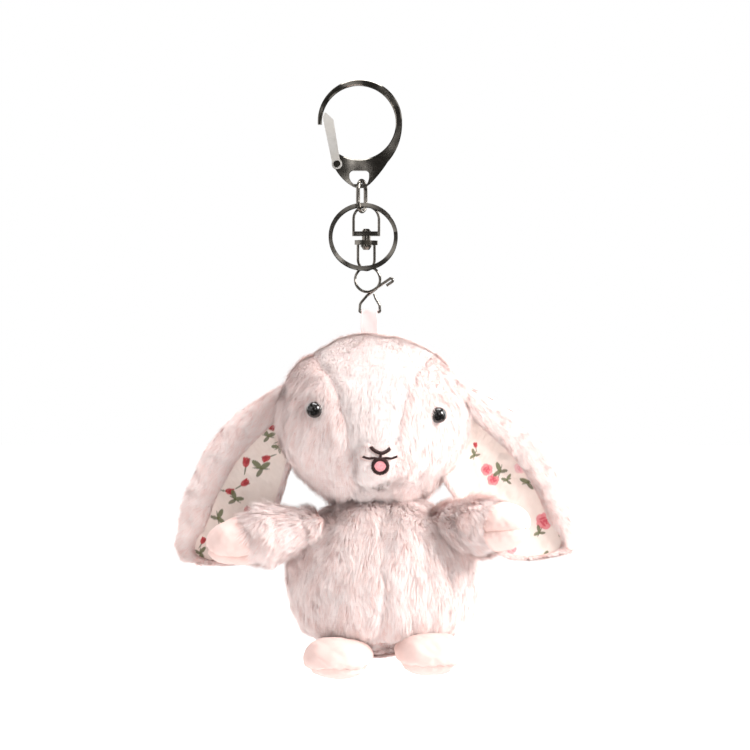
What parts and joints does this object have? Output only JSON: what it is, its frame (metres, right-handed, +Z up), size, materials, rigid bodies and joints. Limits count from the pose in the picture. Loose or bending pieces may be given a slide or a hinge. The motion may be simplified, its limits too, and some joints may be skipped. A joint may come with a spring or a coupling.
{
  "type": "plush keychain",
  "caption": "Small plush rabbit with drooping floral-lined ears, hung by a ribbon from a wire clasp, swivel, split ring and spring clip.",
  "frame": {"origin": "centre of the round opening of the snap clip that the keychain hangs from", "axes": "+Z up along the hanging chain, the rabbit faces -Y, +X to the right seen from the front"},
  "size_m": [0.1481, 0.0765, 0.2145],
  "materials": {
    "chain_metal": "polished",
    "spring_steel": "satin",
    "satin_ribbon": "satin",
    "fur_fabric": "short soft pile",
    "paw_velour": "velour",
    "floral_cotton": "woven print",
    "embroidery": "thread",
    "tongue_thread": "thread",
    "eye_plastic": "gloss",
    "washer_plastic": "matte",
    "stuffing": "loose fibre"
  },
  "bodies": {
    "clip": {"clip_body": "chain_metal", "gate_pin": "chain_metal", "gate_spring": "spring_steel"},
    "gate": {"clip_gate": "chain_metal"},
    "link": {"connector_link": "chain_metal"},
    "split_ring": {"key_ring": "chain_metal"},
    "swivel_top": {"swivel_upper_yoke": "chain_metal", "swivel_rivet": "chain_metal"},
    "swivel_bottom": {"swivel_lower_yoke": "chain_metal"},
    "clasp": {"wire_clasp": "chain_metal"},
    "plush": {"ribbon_loop": "satin_ribbon", "head_gusset": "fur_fabric", "head_side_left": "fur_fabric", "head_side_right": "fur_fabric", "head_back": "fur_fabric", "head_stuffing": "stuffing", "nose_stitch": "embroidery", "mouth_stitch": "embroidery", "tongue_patch": "tongue_thread", "eye_left": "eye_plastic", "eye_right": "eye_plastic", "eye_washer_left": "washer_plastic", "eye_washer_right": "washer_plastic", "body_front_left": "fur_fabric", "body_front_right": "fur_fabric", "body_back_left": "fur_fabric", "body_back_right": "fur_fabric", "body_base": "fur_fabric", "body_stuffing": "stuffing", "tail": "fur_fabric", "tail_stuffing": "stuffing", "foot_top_left": "paw_velour", "foot_sole_left": "paw_velour", "foot_stuffing_left": "stuffing", "foot_top_right": "paw_velour", "foot_sole_right": "paw_velour", "foot_stuffing_right": "stuffing"},
    "ear_left": {"ear_back_left": "fur_fabric", "ear_lining_left": "floral_cotton"},
    "arm_left": {"arm_sleeve_left": "fur_fabric", "paw_upper_left": "paw_velour", "paw_lower_left": "paw_velour", "arm_stuffing_left": "stuffing"},
    "ear_right": {"ear_back_right": "fur_fabric", "ear_lining_right": "floral_cotton"},
    "arm_right": {"arm_sleeve_right": "fur_fabric", "paw_upper_right": "paw_velour", "paw_lower_right": "paw_velour", "arm_stuffing_right": "stuffing"}
  },
  "joints": [
    {"name": "gate_hinge", "type": "hinge", "parent": "clip", "child": "gate", "pos_m": [-0.0079, 0, -0.015], "axis": [0, 1, 0], "range_deg": [0, 28], "stiffness_Nm_per_rad": 0.02, "springref_deg": -20.05, "deforming": ["gate_spring"]},
    {"name": "link_swing", "type": "hinge", "parent": "clip", "child": "link", "pos_m": [0.0011, 0, -0.02295], "axis": [1, 0, 0], "range_deg": [-35, 35]},
    {"name": "key_ring_swing", "type": "hinge", "parent": "link", "child": "split_ring", "pos_m": [0.0011, -0.0006, -0.0321], "axis": [0, 1, 0], "range_deg": [-20, 20]},
    {"name": "yoke_swing", "type": "hinge", "parent": "link", "child": "swivel_top", "pos_m": [0.0011, 0.00095, -0.0321], "axis": [0, 1, 0], "range_deg": [-20, 20]},
    {"name": "swivel_spin", "type": "hinge", "parent": "swivel_top", "child": "swivel_bottom", "pos_m": [0.0027, 0.00095, -0.042], "axis": [0, 0, 1], "continuous": true},
    {"name": "clasp_swing", "type": "hinge", "parent": "swivel_bottom", "child": "clasp", "pos_m": [0.0027, 0.00095, -0.0533], "axis": [0.766, 0.6428, 0], "range_deg": [-25, 25]},
    {"name": "plush_swing", "type": "hinge", "parent": "clasp", "child": "plush", "pos_m": [0.00398, 0.00078, -0.0686], "axis": [0.9781, -0.2079, 0], "range_deg": [-25, 25]},
    {"name": "ear_left_flap", "type": "hinge", "parent": "plush", "child": "ear_left", "pos_m": [-0.0229, 0.0005, -0.1], "axis": [0, 1, 0], "range_deg": [-3, 60], "stiffness_Nm_per_rad": 0.02},
    {"name": "ear_right_flap", "type": "hinge", "parent": "plush", "child": "ear_right", "pos_m": [0.0331, 0.0005, -0.1], "axis": [0, -1, 0], "range_deg": [-3, 60], "stiffness_Nm_per_rad": 0.02},
    {"name": "arm_left_lift", "type": "hinge", "parent": "plush", "child": "arm_left", "pos_m": [-0.0195, -0.013, -0.1465], "axis": [0, 1, 0], "range_deg": [-15, 30], "stiffness_Nm_per_rad": 0.02},
    {"name": "arm_right_lift", "type": "hinge", "parent": "plush", "child": "arm_right", "pos_m": [0.033, -0.013, -0.145], "axis": [0, -1, 0], "range_deg": [-15, 30], "stiffness_Nm_per_rad": 0.02}
  ]
}
